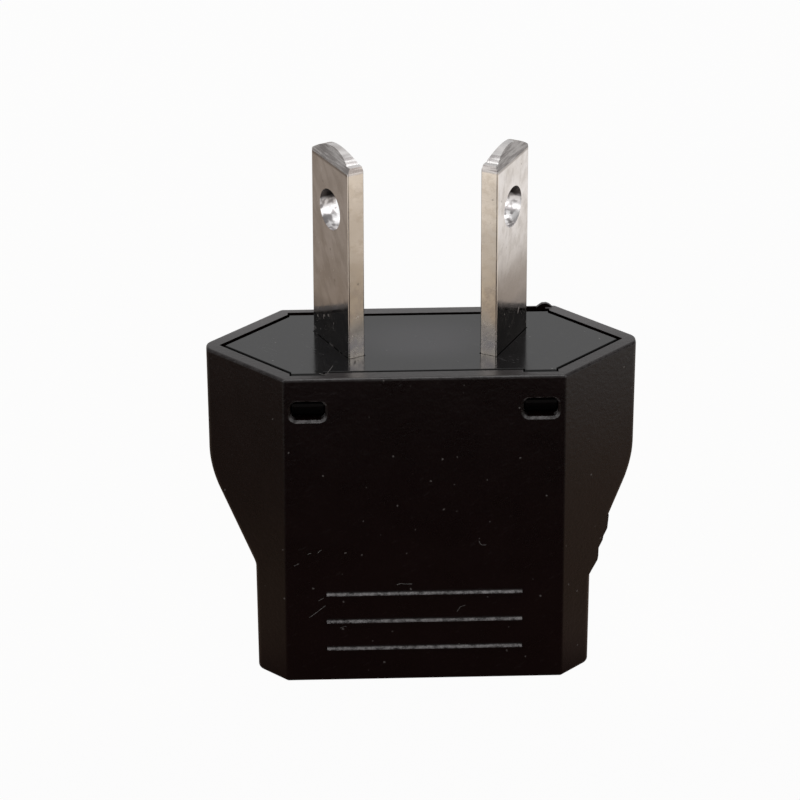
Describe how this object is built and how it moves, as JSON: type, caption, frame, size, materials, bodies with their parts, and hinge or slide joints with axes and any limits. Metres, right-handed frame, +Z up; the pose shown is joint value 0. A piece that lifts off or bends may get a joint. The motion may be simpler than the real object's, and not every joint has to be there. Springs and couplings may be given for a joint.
{
  "type": "travel adapter",
  "caption": "Black hexagonal travel adapter with sloped shoulders, flat angled blades on one end and a round-pin socket in the other.",
  "frame": {"origin": "middle of the socket face, on the plane that the adapter stands on", "axes": "+Z up along the blades, +X to the right seen from the front, -Y to the front, where the blades' edges lie closest together"},
  "size_m": [0.0358, 0.0144, 0.0461],
  "materials": {
    "black_plastic": "moulded black plastic, satin",
    "black_plastic_plate": "moulded black plastic, satin",
    "nickel_plate": "brass with polished nickel plating",
    "spring_brass": "bare rolled brass strip",
    "rivet_brass": "bare brass, upset heads"
  },
  "bodies": {
    "root": {"shell": "black_plastic", "blade_plate": "black_plastic_plate", "blade_left": "nickel_plate", "blade_right": "nickel_plate", "contact_left": "spring_brass", "contact_right": "spring_brass", "rivet_left": "rivet_brass", "rivet_right": "rivet_brass"}
  },
  "joints": []
}
